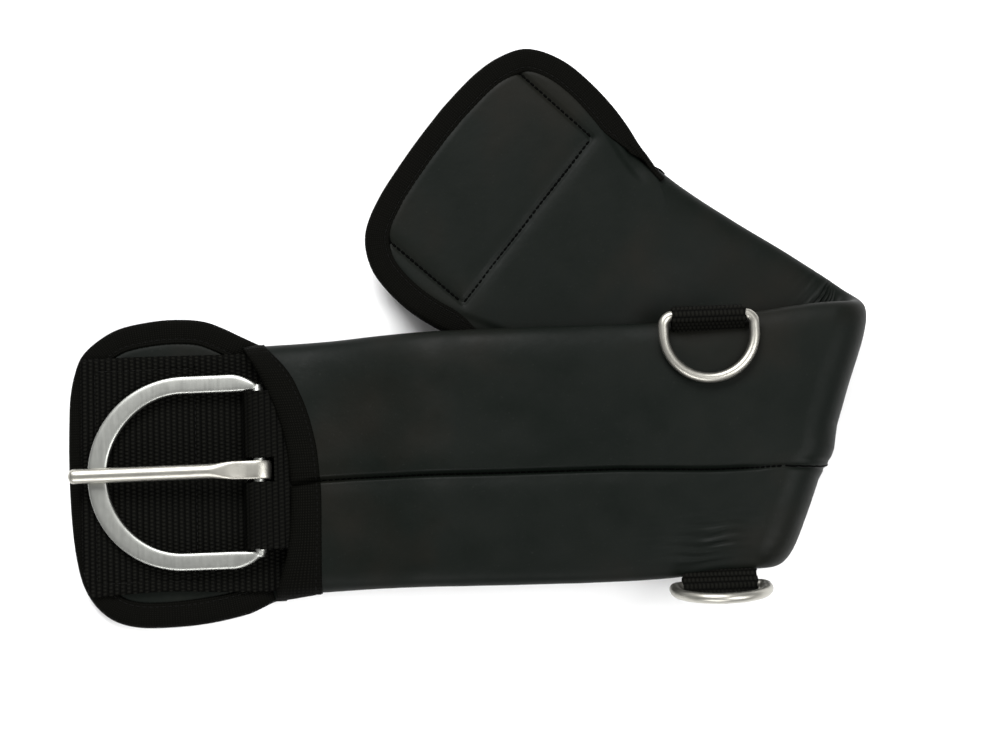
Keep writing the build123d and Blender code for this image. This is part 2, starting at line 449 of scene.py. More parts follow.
def front_relief(half, s, y):
    """How far the front face stands off: its seam, soft waves, and the gathers over the lower tab."""
    side = half.sign
    sleeve = smooth((s - MOUTH) / 4)
    relief = seam_groove(s, y, side) * sleeve * (1 - 0.6 * smooth((s - half.length + 32) / 26))
    relief = relief + sleeve * (0.55 * waves(s, y, 90, 11) + 0.16 * waves(s, y, 24, 12))
    over_tab = bump(s, 313, 26) * bump(y * side, -45, 11)
    gather = np.sin((y * side + 0.9 * waves(s, y, 30, 5)) * 2 * math.pi / 4.6)
    relief = relief + over_tab * (0.62 * gather - 0.5)
    at_tab = bump(s, 318, 15) * bump(y * side, -50, 6)
    return relief + at_tab * 0.4 * np.sin(y * 2 * math.pi / 2.9 + 0.6 * waves(s, y, 18, 6))


def back_relief(half, s, y):
    """The same on the back: soft waves and, on the far half, its box stitch and crease wrinkles."""
    relief = 0.35 * waves(s, y, 85, 21 if half is Near else 31)
    if half is Far:
        distance = box_stitch_distance(s, y)
        relief = relief - 1.25 * bump(distance, 0, 0.85) - 0.75 * bump(distance, 0, 4.0)
        corner = bump(s, 214, 16) * bump(y, -50, 15)
        fold = np.sin((s * 0.95 + y * 0.28 + 0.8 * waves(s, y, 26, 8)) * 2 * math.pi / 5.6)
        relief = relief + corner * 0.75 * fold
    return relief


def pad_pinch(half, s, y):
    """The pad is pressed thinner where the tape binds its edge."""
    if np.min(s) > 100:
        return 0.0
    inside = edge_distance(half, s, y)
    pressed = 0.9 * (1 - smooth((inside - 9.5) / 4))
    rounded = 2.2 * (1 - smooth(inside / 4.5))
    return -(pressed + rounded) * (1 - smooth((s - 84) / 12))


def strap_ring(half, s, lift=0.0, wall=WALL):
    """One ring round the strap at s, raised by lift. The sleeve steps up that wall behind the mouth."""
    s = s + np.zeros(COLUMNS)
    low, high = limits(half, s)
    # Round the pad the skin stays 1 mm inside its tape.
    width = (high - low) / 2 - (1 - smooth((s - 84) / 14))
    centre = (high + low) / 2
    deep = thickness(s)
    step = smooth((s - MOUTH - wall) / 0.9)
    top = NEOPRENE + (deep - NEOPRENE) * step
    # mid is the height of the section's widest line: low on the pad, half-way up on the sleeve.
    mid = 3.2 + 2.2 * smooth((s - 62) / 36) + (deep / 2 - 5.4) * smooth((s - 101) / 20)
    mid = np.minimum(mid, top - 1.0)
    height = np.where(IS_FRONT, top - mid, -mid)
    y = centre + width * UNIT_Y
    h = mid + height * UNIT_RISE
    ty = np.roll(y, -1) - np.roll(y, 1)
    th = np.roll(h, -1) - np.roll(h, 1)
    size = np.hypot(ty, th) + 1e-9
    # Near the mouth the front, and the back's two edges, follow the mouth's curved line.
    held = np.where(IS_FRONT, 1.0, smooth((np.abs(y) - (width - 15)) / 12))
    pull = np.exp(-(((s - MOUTH) / 26.0) ** 2))
    station = s + held * pull * (evened(mouth_at, y * half.sign) - MOUTH)
    relief = np.where(IS_FRONT, front_relief(half, station, y), back_relief(half, station, y))
    edge = smooth((np.abs(y - centre) - (width - 5)) / 5)
    relief = relief * (1 - 0.7 * edge) + pad_pinch(half, station, y)
    return station, y - th / size * (relief + lift), h + ty / size * (relief + lift)


def strap_rows(half):
    """Where the strap's rings stand: closer at the pad's tip and at the step behind the mouth."""
    start = half.first + 0.7 + np.array([0.1, 0.3, 0.6, 1.1, 1.8, 2.7, 3.8, 5.0, 6.4])
    pad = np.concatenate([start, spread(start[-1] + 1.3, MOUTH - 2, 1.25)])
    wall = MOUTH + WALL + np.array([-1.5, 0.05, 0.25, 0.5, 0.8, 1.4])
    sleeve = spread(MOUTH + WALL + 3, half.length, 1.5)
    return np.concatenate([pad, [MOUTH, MOUTH + 2], wall, sleeve])


def skin_mesh(name, rings, before, after, uv):
    """A closed skin, shaded as if it ran on past its ends, so that no line shows at its neighbour."""
    rows, columns = rings.shape[:2]
    full = np.concatenate([before, rings, after])
    along = np.gradient(full, axis=0)[len(before):len(before) + rows]
    across = np.roll(rings, -1, axis=1) - np.roll(rings, 1, axis=1)
    normal = unit(np.cross(along, across))
    first = rows * columns
    faces = turned(grid_faces(rows, columns, wrap=True))
    faces.append(tuple(range(first, first + columns)))
    faces.append(tuple(range(first + columns, first + 2 * columns))[::-1])
    points = np.concatenate([rings.reshape(-1, 3), rings[0], rings[-1]])
    lead = np.mean(rings[0] - rings[1], axis=0)
    tail = np.mean(rings[-1] - rings[-2], axis=0)
    ends = [np.tile(unit(v), (columns, 1)) for v in (lead, tail)]
    normals = np.concatenate([normal.reshape(-1, 3)] + ends)
    corners = np.concatenate([np.asarray(uv).reshape(-1, 2), uv[0], uv[-1]])
    piece = make_mesh(name, points, faces, neoprene, corners)
    piece.data.normals_split_custom_set_from_vertices(normals.tolist())
    return piece


def strap_skin(half, name):
    rings = []
    uv = []
    for s in strap_rows(half):
        station, y, h = strap_ring(half, s)
        rings.append(on_half(half, station, y, h))
        uv.append(uv_mm(station, y))
    ghost = fold_ring(2.0 if half is Near else 178.0)[0]
    if half is Far:
        ghost = ghost[MIRROR]
    none = np.zeros((0, COLUMNS, 3))
    return skin_mesh(name, np.array(rings), none, ghost[None], np.array(uv))


def mirrored_columns():
    """For each point of a near ring, the point of a far ring that lies over it at the fold."""
    front = np.array([np.argmin(np.abs(FRONT_Y + y)) for y in FRONT_Y])
    back_y = UNIT_Y[FRONT_COUNT:]
    back = np.array([np.argmin(np.abs(back_y + y)) for y in back_y]) + FRONT_COUNT
    return np.concatenate([front, back])


MIRROR = mirrored_columns()


@functools.cache
def end_ring(half):
    """A half's ring at the crease, as (y, h)."""
    return strap_ring(half, half.length)[1:]


def fold_ring(turn):
    """A ring of the bend, between the near half's last ring and the far half's, turned over."""
    part = turn / 180
    y0, h0 = end_ring(Near)
    y1, h1 = end_ring(Far)
    front = -y1[:FRONT_COUNT][::-1]
    over_y = np.interp(FRONT_Y, front / HALF_WIDTH, front)
    over_h = np.interp(FRONT_Y, front / HALF_WIDTH, h1[:FRONT_COUNT][::-1])
    y = y0 * (1 - part) + np.concatenate([over_y, -y1[MIRROR][FRONT_COUNT:]]) * part
    h = h0 * (1 - part) + np.concatenate([over_h, h1[MIRROR][FRONT_COUNT:]]) * part
    swell = 0.6 * math.sin(math.radians(turn))
    h = h + np.where(IS_FRONT, swell * np.sqrt(np.maximum(0, 1 - (y / HALF_WIDTH) ** 2)), 0)
    return on_fold(turn, y, h), y


# The bend's stretches: the turn that each spans, in degrees, and the two bodies that it lies between.
STRETCHES = (("upper", (0, 75), ("near", "fold")), ("middle", (75, 105), ("fold", "fold_web")),
             ("lower", (105, 180), ("fold_web", "far")))


def beside(turn):
    """A ring just outside a stretch of the bend: on the bend itself, or on the half that it meets."""
    if 0 <= turn <= 180:
        return fold_ring(turn)[0][None]
    half = Near if turn < 0 else Far
    ring = on_half(half, *strap_ring(half, half.length - 1.0))
    return (ring if half is Near else ring[MIRROR])[None]


def fold_skin(name, low, high):
    rings = []
    uv = []
    for turn in spread(low, high, 3.0):
        points, y = fold_ring(turn)
        rings.append(points)
        uv.append(uv_mm(NEAR_LENGTH + turn * 0.16, y))
    return skin_mesh(name, np.array(rings), beside(low - 3.0), beside(high + 3.0), np.array(uv))


# ---------------------------------------------------------------- materials
def node_material(name):
    material = bpy.data.materials.new(name)
    material.use_nodes = True
    tree = material.node_tree
    shader = tree.nodes["Principled BSDF"]
    return material, tree, shader


def set_socket(tree, socket, value):
    """Sets a socket to a plain value, or links it to another node's output."""
    if isinstance(value, bpy.types.NodeSocket):
        tree.links.new(value, socket)
    else:
        socket.default_value = value


def add_node(tree, kind, **values):
    node = tree.nodes.new("ShaderNode" + kind)
    for name, value in values.items():
        set_socket(tree, node.inputs[name.replace("_", " ")], value)
    return node


def add_noise(tree, scale, detail=4.0, rough=0.55, stretch=None):
    place = add_node(tree, "TexCoord").outputs["Object"]
    if stretch:
        place = add_node(tree, "Mapping", Vector=place, Scale=stretch).outputs["Vector"]
    node = add_node(tree, "TexNoise", Vector=place, Scale=scale, Detail=detail, Roughness=rough)
    return node.outputs["Fac"]


def ramp(tree, value, stops):
    node = tree.nodes.new("ShaderNodeValToRGB")
    elements = node.color_ramp.elements
    while len(elements) < len(stops):
        elements.new(0.5)
    for element, (place, colour) in zip(elements, stops):
        element.position = place
        element.color = (*colour, 1)
    tree.links.new(value, node.inputs["Fac"])
    return node.outputs["Color"]


def remap(tree, value, low, high, source_low=0.3, source_high=0.7):
    """A value taken from one range to another."""
    node = add_node(tree, "MapRange", Value=value, From_Min=source_low, From_Max=source_high,
                    To_Min=low, To_Max=high)
    return node.outputs["Result"]


def math_node(tree, operation, *values):
    node = tree.nodes.new("ShaderNodeMath")
    node.operation = operation
    for socket, value in zip(node.inputs, values):
        set_socket(tree, socket, value)
    return node.outputs["Value"]


def mix_colour(tree, factor, tone, colour):
    """A shaded tone with a plain colour mixed in by a factor."""
    node = tree.nodes.new("ShaderNodeMix")
    node.data_type = "RGBA"
    node.inputs["B"].default_value = (*colour, 1)
    tree.links.new(factor, node.inputs["Factor"])
    tree.links.new(tone, node.inputs["A"])
    return node.outputs["Result"]


def add_bump(tree, shader, layers):
    """Chains bump layers (height, strength, depth in metres) into the shader's normal."""
    previous = None
    for height, strength, depth in layers:
        node = add_node(tree, "Bump", Height=height, Strength=strength, Distance=depth)
        if previous is not None:
            tree.links.new(previous, node.inputs["Normal"])
        previous = node.outputs["Normal"]
    tree.links.new(previous, shader.inputs["Normal"])


def uv_swing(tree, axis, pitch, phase):
    """A wave from -1 to 1 along a piece's own length (X) or width (Y), pitch in metres."""
    source = tree.nodes.new("ShaderNodeUVMap")
    source.uv_map = "along"
    split = add_node(tree, "SeparateXYZ", Vector=source.outputs["UV"])
    scaled = math_node(tree, "MULTIPLY", split.outputs[axis], 2 * math.pi / pitch)
    return math_node(tree, "SINE", math_node(tree, "ADD", scaled, phase))


def uv_wave(tree, axis, pitch):
    """The same wave from 0 to 1."""
    return math_node(tree, "MULTIPLY_ADD", uv_swing(tree, axis, pitch, 0.0), 0.5, 0.5)


def neoprene_material():
    material, tree, shader = node_material("neoprene_skin")
    broad = add_noise(tree, 14, 3)
    tone = ramp(tree, broad, [(0.34, (0.0020, 0.0033, 0.0024)), (0.52, (0.0034, 0.0046, 0.0036)),
                              (0.68, (0.0056, 0.0056, 0.0042))])
    dust = add_noise(tree, 900, 2)
    tone = mix_colour(tree, remap(tree, dust, 0, 0.22, 0.66, 0.8), tone, (0.030, 0.032, 0.029))
    tree.links.new(tone, shader.inputs["Base Color"])
    worn = add_noise(tree, 60, 6, 0.7)
    tree.links.new(remap(tree, worn, 0.40, 0.56), shader.inputs["Roughness"])
    shader.inputs["Specular IOR Level"].default_value = 0.07
    grain = add_noise(tree, 1500, 3, 0.6)
    soft = add_noise(tree, 220, 4)
    add_bump(tree, shader, [(soft, 0.18, 0.0006), (grain, 0.22, 0.00012)])
    return material


def ribbed_cells(tree):
    """The ribbed webbing's relief, used for both bump and colour: high on the crest of each float, low in
    the gaps between ribs. As colour it paints a highlight on the crests and shade in the gaps.
    """
    rib = uv_swing(tree, "X", 2 * RIB * MM, 0.0)
    floats = uv_swing(tree, "Y", FLOAT * MM, math.pi / 2)
    offset = math_node(tree, "MULTIPLY", rib, floats)
    lit = math_node(tree, "MULTIPLY_ADD", offset, 0.4, 0.6)
    return math_node(tree, "MULTIPLY", math_node(tree, "ABSOLUTE", rib), lit)


# The knitted tape's loops: high on each loop, low between them. As colour it paints shade between the
# loops.
def knit_cells(tree, pitch):
    return math_node(tree, "MULTIPLY", uv_wave(tree, "X", pitch[0]), uv_wave(tree, "Y", pitch[1]))


def woven_material(name, dark, light, pitch, fibre, roughness):
    """Webbing (no pitch) or knitted tape: ribs both ways along the piece, with loose fibre over them. The
    dark colour is painted shade in the gaps between ribs or loops, and the light one is a painted
    highlight on their crests.
    """
    material, tree, shader = node_material(name)
    cells = knit_cells(tree, pitch) if pitch else ribbed_cells(tree)
    strands = add_noise(tree, fibre, 3, 0.6)
    # Painted shade in the gaps of the weave, painted highlight on its crests.
    tone = ramp(tree, cells, [(0.12, dark), (0.85, light)])
    fuzz = remap(tree, strands, 0.0, 0.3, 0.5, 0.8)
    tone = mix_colour(tree, fuzz, tone, tuple(1.3 * c for c in light))
    tree.links.new(tone, shader.inputs["Base Color"])
    tree.links.new(remap(tree, strands, roughness - 0.08, roughness + 0.1), shader.inputs["Roughness"])
    shader.inputs["Specular IOR Level"].default_value = 0.028
    add_bump(tree, shader, [(cells, 0.6, 0.00035), (strands, 0.35, 0.00015)])
    return material


def steel_material(name, colour, low, high, streak, grain):
    material, tree, shader = node_material(name)
    shader.inputs["Metallic"].default_value = 1.0
    cloud = add_noise(tree, 55, 4)
    tone = ramp(tree, cloud, [(0.3, tuple(c * 0.93 for c in colour)), (0.7, colour)])
    tree.links.new(tone, shader.inputs["Base Color"])
    brushed = add_noise(tree, streak, 5, 0.7, stretch=(1.0, 0.08, 0.3))
    spots = add_noise(tree, 260, 5, 0.7)
    both = math_node(tree, "MULTIPLY_ADD", brushed, 0.6, math_node(tree, "MULTIPLY", spots, 0.4))
    tree.links.new(remap(tree, both, low, high), shader.inputs["Roughness"])
    fine = add_noise(tree, grain, 3, 0.6)
    add_bump(tree, shader, [(brushed, 0.05, 0.0001), (fine, 0.03, 0.00005)])
    return material


neoprene = neoprene_material()
# Each weave's first colour is painted shade for its gaps, and its second is a painted highlight for its
# crests.
webbing = woven_material("webbing_weave", (0.0002, 0.0002, 0.0001), (0.0050, 0.0050, 0.0040),
                         None, 2600, 0.62)
tape = woven_material("knit_tape", (0.0008, 0.0008, 0.0005), (0.0034, 0.0034, 0.0025),
                      (0.0013, 0.0010), 2200, 0.7)
# A much darker copy of the thread: painted shade for thread that lies down in a seam or groove.
sunk_thread = woven_material("sunk_thread", (0.0003, 0.0003, 0.0003), (0.0012, 0.0012, 0.0011),
                             (0.0006, 0.0006), 4000, 0.7)
thread = woven_material("sewing_thread", (0.003, 0.003, 0.0028), (0.012, 0.012, 0.011),
                        (0.0006, 0.0006), 4000, 0.5)
satin = steel_material("satin_steel_face", (0.33, 0.335, 0.315), 0.34, 0.46, 700, 2400)
polished = steel_material("polished_steel_face", (0.36, 0.35, 0.315), 0.34, 0.44, 420, 1800)


# ---------------------------------------------------------------- neoprene sleeve
def declare(piece, nodes):
    """Hides the CAD nodes that a piece stands for, if any."""
    if nodes:
        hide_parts(*nodes)
    return piece


def add(piece, body, slot, *nodes):
    """A piece that rides on one body."""
    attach(piece, body)
    return declare(piece, nodes)


def add_bend(piece, span, bodies, slot, *nodes):
    """A stretch of the bend, baked into place where it lies."""
    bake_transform(piece)
    return declare(piece, nodes)


for half in (Near, Far):
    skin = strap_skin(half, half.body + "_neoprene")
    add(skin, half.body, "neoprene", half.body + "_sleeve")
for label, span, bodies in STRETCHES:
    skin = fold_skin("bend_neoprene_" + label, *span)
    add_bend(skin, span, bodies, "neoprene", "fold_sleeve")


# ---------------------------------------------------------------- edge tape round the pads
def outline_path(half, reach, step):
    """Points and outward normals round a pad, from one side at reach to the other."""
    high, low = half.sides
    points, _ = evenly(np.vstack([high[high[:, 0] < reach][::-1], low[low[:, 0] < reach][1:]]), step)
    return points, -normals_of(points)


def tape_section(w, b):
    """The tape's section, w wide in front and b behind: (inside the pad's edge, above its back)."""
    outer = [(w, 6.1), (w - 0.15, 6.75), (w - 0.8, 6.95), (w - 2.0, 6.75), (w - 3.5, 7.15),
             (w * 0.45, 7.3), (3.0, 7.2), (1.2, 6.6), (0.25, 5.2), (0.0, 3.5), (0.25, 1.8), (1.2, 0.5),
             (3.0, 0.05)]
    back = [(b * 0.45 + 1.2, 0.0), (b - 3.0, 0.05), (b - 1.9, 0.3), (b - 0.8, 0.15), (b - 0.15, 0.35),
            (b, 0.9)]
    inner = [(b - 0.5, 1.2), (3.0, 1.4), (1.6, 3.4), (3.0, 5.4), (w - 0.5, 5.8)]
    if b < 6.5:  # too narrow to lie flat: it runs up the pad's edge
        back = [(3.0 + (b - 3.0) * k / 5, 0.17 * k) for k in range(1, 7)]
        inner[0] = (max(b - 0.4, 3.2), 1.2)
    return np.array(outer + back + inner)


def tape_back(s):
    """How wide the tape is behind: full round the pad, and run out where the pad meets the sleeve."""
    return 1.6 + (TAPE - 1.6) * smooth((95 - s) / 34)


def pad_tape(half, name):
    points, normals = outline_path(half, 99, 1.1)
    rings = []
    uv = []
    for (s, y), (nx, ny), along in zip(points, normals, travelled(points)):
        corners = [np.roll(tape_section(TAPE, tape_back(s)), k, axis=0) for k in (1, 0, -1, -2)]
        section = np.stack([curve_part(*corners, t) for t in (0, 0.5)], axis=1).reshape(-1, 2)
        ending = smooth((s - 84) / 15)
        pucker = 0.13 * math.sin(along * 2 * math.pi / 3.1) + 0.10 * waves(along, y, 17, 41)
        inset = section[:, 0] + 1.6 * ending + 0.25 * waves(along, 0, 30, 42) * (section[:, 0] > 8)
        height = section[:, 1] + pucker * np.where(section[:, 1] > 4, 1.0, -1.0) * (section[:, 0] > 2)
        height = height * (1 - ending) + ending * (3.6 + (height - 3.6) * 0.84)
        rings.append(on_half(half, s - nx * inset, y - ny * inset, height))
        uv.append(uv_mm(along, travelled(section)))
    return ring_mesh(name, np.array(rings), tape, np.array(uv))


# Along a stitch: how far it dips at its ends, and how round it is.
STITCH_DIP = np.array([-0.34, -0.06, 0.04, 0.04, -0.06, -0.34])
STITCH_SIZE = np.array([0.35, 0.9, 1.0, 1.0, 0.9, 0.35])


def stitch_run(points, heights, pitch=3.1, length=2.35, radius=0.3):
    """Stitches along a run of (s, y) points at a height above the back: (s, y, h, radius) for each."""
    steps = travelled(points)
    heights = np.broadcast_to(heights, steps.shape)
    stitches = []
    for start in np.arange(pitch * 0.3, steps[-1] - length, pitch * (1.0)):
        along = start + np.linspace(0, length, len(STITCH_SIZE))
        s, y, h = (np.interp(along, steps, values) for values in (points[:, 0], points[:, 1], heights))
        stitches.append((s, y, h, radius * STITCH_SIZE))
    return stitches


def stitch_mesh(half, name, runs, side=1.0, material=thread):
    """All the stitches of some runs as one piece of thread, one small capsule each."""
    points = []
    faces = []
    uv = []
    around = 6
    a = np.arange(around) * 2 * math.pi / around
    for s, y, h, sizes in [stitch for run in runs for stitch in run]:
        ds, dy = s[-1] - s[0], y[-1] - y[0]
        size = math.hypot(ds, dy) or 1.0
        out = sizes[:, None] * np.cos(a)
        up = sizes[:, None] * np.sin(a)
        middle = (h + side * STITCH_DIP)[:, None]
        shape = on_half(half, s[:, None] - dy / size * out, y[:, None] + ds / size * out, middle + up)
        for face in grid_faces(*out.shape, wrap=True):
            faces.append(tuple(len(points) * out.size + v for v in face))
        points.append(shape)
        uv.append(uv_mm(np.arange(len(s))[:, None] * 0.4, a * sizes[:, None]))
    return make_mesh(name, np.array(points), faces, material, np.array(uv))


def tape_stitches(half, name):
    """The row of stitches along the tape in front, and behind it where it is wide enough."""
    points, normals = outline_path(half, 95, 1.5)
    wide = tape_back(points[:, 0])
    front = points - normals * (TAPE - 1.9)
    back = (points - normals * (wide - 1.9)[:, None])[wide > 9.4]
    return (stitch_mesh(half, name + "_front", [stitch_run(front, 6.95)]),
            stitch_mesh(half, name + "_back", [stitch_run(back, 0.12)], side=-1.0))


# ---------------------------------------------------------------- tape on the flap's mouth
def flap_surface(half, part, lift, columns):
    """Points on the flap between its mouth (part 0) and the far edge of the tape (part 1)."""
    low, high = limits(half, 112.0)
    y = ((high + low) / 2 + (high - low) / 2 * UNIT_Y) * half.sign
    mouth = evened(mouth_at, y)
    target = mouth + (evened(band_at, y) - mouth) * part
    nominal = target.copy()
    for _ in range(8):
        pull = np.exp(-(((nominal - MOUTH) / 26.0) ** 2))
        nominal = target - pull * (mouth - MOUTH)
    station, y, h = strap_ring(half, nominal, lift=lift, wall=-12.0)
    return station[columns], y[columns], h[columns]


def mouth_binding(half, name):
    """A band over the flap's edge: it lies on the flap, turns over the lip and goes in under it."""
    front = slice(0, FRONT_COUNT)
    parts = [1.02, 1.0, 0.96, 0.89, 0.82, 0.7, 0.55, 0.4, 0.27, 0.17, 0.09]
    lifts = [-0.3, 0.5, 0.85, 0.7, 0.9, 1.05, 1.1, 1.1, 1.0, 0.9, 0.7]
    rows = [flap_surface(half, part, lift, front) for part, lift in zip(parts, lifts)]
    station, y, top = rows[-1]
    out = np.abs(y)
    ease = smooth((out - 36) / 12)
    # The lip's underside clears the buckle's web in the middle and comes down on the pad at the sides.
    low = np.minimum(top - 1.2, 13.4 * (1 - ease) + (9.7 - 2.8 * smooth((out - 55) / 5)) * ease)
    lip = [(-1.3, 0.06), (-2.0, 0.2), (-2.3, 0.42), (-2.2, 0.66), (-1.7, 0.86), (-0.6, 0.98), (3.0, 1.0)]
    for shift, part in lip:
        rows.append((station + shift, y, top * (1 - part) + low * part))
    points = []
    uv = []
    for k, (station, y, h) in enumerate(rows):
        wrinkle = 0.12 * waves(y, 2.0 * k, 13, 51) + 0.08 * np.sin(y * 2 * math.pi / 3.1)
        points.append(on_half(half, station, y, h + wrinkle))
        uv.append(uv_mm(y, 1.6 * k))
    return make_mesh(name, np.array(points), grid_faces(len(rows), FRONT_COUNT), tape, np.array(uv))


def mouth_stitches(half, name):
    keep = IS_FRONT & (np.abs(UNIT_Y) < 0.99)
    station, y, h = flap_surface(half, 0.87, 0.75, keep)
    return stitch_mesh(half, name, [stitch_run(joined(station, y), h)])


# ---------------------------------------------------------------- webbing
def rib_height(across_ribs, along_ribs):
    """Ribbed webbing: round ribs, each made of short floats."""
    index = np.floor(across_ribs / RIB)
    rib = np.sqrt(np.abs(np.sin(math.pi * across_ribs / RIB)))
    floats = np.cos(2 * math.pi * along_ribs / FLOAT + math.pi * index)
    return 0.6 * (rib - 1) + 0.2 * floats * rib


def core_web(half, name):
    """The wide web on the pad, its corners rounded under the tape and its stitches pressed in."""
    s = np.arange(WEB_START, 116, 0.42)
    y = np.arange(-WEB_HALF, WEB_HALF + 0.1, 0.39)
    ss, yy = np.meshgrid(s, y, indexing="ij")
    corner = 4.5 if half is Near else 9.0
    cover = np.where((yy < -38) | (half is Far), ((np.abs(yy) - 38).clip(0) / 20.5) ** 2 * corner, 0.0)
    ss = ss + cover * (1 - smooth((ss - WEB_START) / 30))
    edge = WEB_HALF - np.abs(yy)
    h = NEOPRENE + WEB + rib_height(ss, yy) - 0.7 * (1 - smooth(edge / 1.6))
    h = h - 0.5 * (1 - smooth((ss - WEB_START) / 1.5)) + 0.12 * waves(ss, yy, 40, 61)
    first, last = BOX_ENDS
    ends = np.minimum(np.abs(ss - first), np.abs(ss - last)) + 99 * (np.abs(yy) > BOX_SIDE + 1)
    sides = np.abs(np.abs(yy) - BOX_SIDE) + 99 * ((ss < first - 0.2) | (ss > last + 0.3))
    h = h - 0.5 * bump(np.minimum(ends, sides), 0, 0.8)
    drawn_in = 1.7 * bump(ss, 48, 26) * smooth((np.abs(yy) - 42) / 16) * (yy < 0)
    points = on_half(half, ss, yy + drawn_in + 0.35 * waves(ss, 0 * ss, 35, 62), h)
    uv = uv_mm(ss, yy)
    return thicken(make_mesh(name, points, turned(grid_faces(len(s), len(y))), webbing, uv), 2.2, -1.0)


def fold_web(name, low, high):
    """The web inside a stretch of the bend, closed on all sides."""
    turn = spread(low, high, 6.0)
    y = spread(-57, 57, 1.5)
    points = [on_fold(turn[:, None], y[None, :], h + 0 * turn[:, None]) for h in (6.9, 9.1)]
    columns = len(y)
    count = len(turn) * columns
    lower = grid_faces(len(turn), columns)
    upper = [tuple(k + count for k in face[::-1]) for face in lower]
    rim = list(range(columns)) + list(range(2 * columns - 1, count, columns))
    rim += list(range(count - 2, count - columns - 1, -1)) + list(range(count - 2 * columns, 0, -columns))
    sides = [(b, a, a + count, b + count) for a, b in zip(rim, rim[1:] + rim[:1])]
    uv = uv_mm(turn[:, None] * 0.2, y)
    return make_mesh(name, np.array(points), lower + upper + sides, webbing, np.array([uv, uv]))


def box_runs(corners, *sizes):
    return [stitch_run(np.linspace(a, b, 30), *sizes) for a, b in zip(corners, corners[1:])]


def box_stitches(half, name):
    near, far = BOX_ENDS
    corners = [(near, -BOX_SIDE), (near, BOX_SIDE), (far, BOX_SIDE), (far, -BOX_SIDE), (near, -BOX_SIDE)]
    return stitch_mesh(half, name, box_runs(corners, NEOPRENE + WEB - 0.55, 3.3, 2.5, 0.32))


def back_box_stitches(half, name):
    """The same stitches where they come through the far pad's back, down in their groove."""
    # Its thread is the darker copy: painted shade down in the groove.
    return stitch_mesh(half, name, box_runs(BACK_BOX, 1.6, 2.9, 2.8, 0.58), -1.0, sunk_thread)


def closing_stitches(half, name):
    """The stitches down in the closing seam, where the sleeve's two edges meet."""
    s = spread(119, half.length - 1.5, 2.0)
    y = seam_line(s) * half.sign
    h = thickness(s) + front_relief(half, s, y) + 0.2
    run = stitch_run(joined(s, y), h, 3.1, 3.05, 0.45)
    # Its thread is the darker copy: painted shade down in the seam.
    return stitch_mesh(half, name, [run], 1.0, sunk_thread)


def bend_stitches(name, low, high):
    """The closing seam's thread on a stretch of the bend, along the bottom of its groove."""
    around = 8
    path = []
    for turn in spread(low, high, 3.0):
        points, y = fold_ring(turn)
        line = seam_line(NEAR_LENGTH) * (1 - turn / 180) + seam_line(FAR_LENGTH) * turn / 180
        path.append(points[np.argmin(np.abs(np.where(IS_FRONT, y, 99.0) - line))])
    rings = sweep(path, 0.9, 0.9, 2.0, ALONG, False, around)
    uv = uv_mm(np.arange(around) * 0.35, np.arange(len(path))[:, None] * 0.4)
    # Its thread is the darker copy: painted shade down in the seam's groove.
    return ring_mesh(name, rings, sunk_thread, uv)


def buckle_web(half, name):
    """The strip of webbing folded round the bar, slotted for the tongue's eye."""
    turn = np.radians(np.linspace(-90, -268, 40))
    bend = joined(BAR_X + 6.6 * np.cos(turn), BAR_H + 4.3 * np.sin(turn))
    under = [(118, 11.4), (108, 10.9), (100, 10.5)]
    over = [(99, 18.4), (106, 17.2), (118, 15.4)]
    path, at = evenly(np.concatenate([under, bend, over]), 0.36 / FINE)
    half_wide = 38.4
    y = np.arange(-half_wide, half_wide + 0.1, 0.39)
    aa, yy = np.meshgrid(at, y, indexing="ij")
    from_bar = aa - at[np.argmin(path[:, 0])]
    relief = rib_height(from_bar, yy) - 0.5 * (1 - smooth((half_wide - np.abs(yy)) / 1.5))
    p = path[:, None, :] - normals_of(path)[:, None, :] * (relief + 0.5)[..., None]
    slot = (np.abs(yy + 0.2) < 5.9) & (-16 < from_bar) & (from_bar < 16.5)
    faces = [face[::-1] for face in grid_faces(*aa.shape) if not slot.flat[face[0]]]
    uv = uv_mm(aa, yy)
    return thicken(make_mesh(name, on_half(half, p[..., 0], yy, p[..., 1]), faces, webbing, uv), 1.4, 0.0)


# ---------------------------------------------------------------- metal
def bar_place(half, points):
    """Points about the buckle's bar, leaning as the buckle lies at rest, in the model's frame."""
    lean = math.radians(-2.0)
    x = points[..., 0] * math.cos(lean) + points[..., 2] * math.sin(lean)
    z = -points[..., 0] * math.sin(lean) + points[..., 2] * math.cos(lean)
    return on_half(half, BAR_X + x, points[..., 1], BAR_H + z)


def section_rings(path, side, top, widths, heights, power, around):
    """Rings round a path: ellipses at power 2, and rounded rectangles above it."""
    a = np.linspace(0, 2 * math.pi, around, endpoint=False)
    power = np.broadcast_to(power, len(path))[:, None]
    ca = np.sign(np.cos(a)) * np.abs(np.cos(a)) ** (2 / power)
    sa = np.sign(np.sin(a)) * np.abs(np.sin(a)) ** (2 / power)
    w = np.broadcast_to(widths, len(path))[:, None, None] / 2
    h = np.broadcast_to(heights, len(path))[:, None, None] / 2
    return path[:, None, :] + side[:, None, :] * ca[..., None] * w + top[:, None, :] * sa[..., None] * h


def sweep(path, widths, heights, power, up, closed, around):
    """A skin swept along a path, its section held upright and changing in size."""
    path = np.asarray(path, float)
    if closed:
        tangent = unit(np.roll(path, -1, axis=0) - np.roll(path, 1, axis=0))
    else:
        tangent = unit(np.gradient(path, axis=0))
    side = unit(np.cross(up, tangent))
    return section_rings(path, side, np.cross(tangent, side), widths, heights, power, around)


def arc_points(centre, radius, start, stop, count):
    a = np.radians(np.linspace(start, stop, count))
    return joined(centre[0] + radius * np.cos(a), centre[1] + radius * np.sin(a), 0 * a)


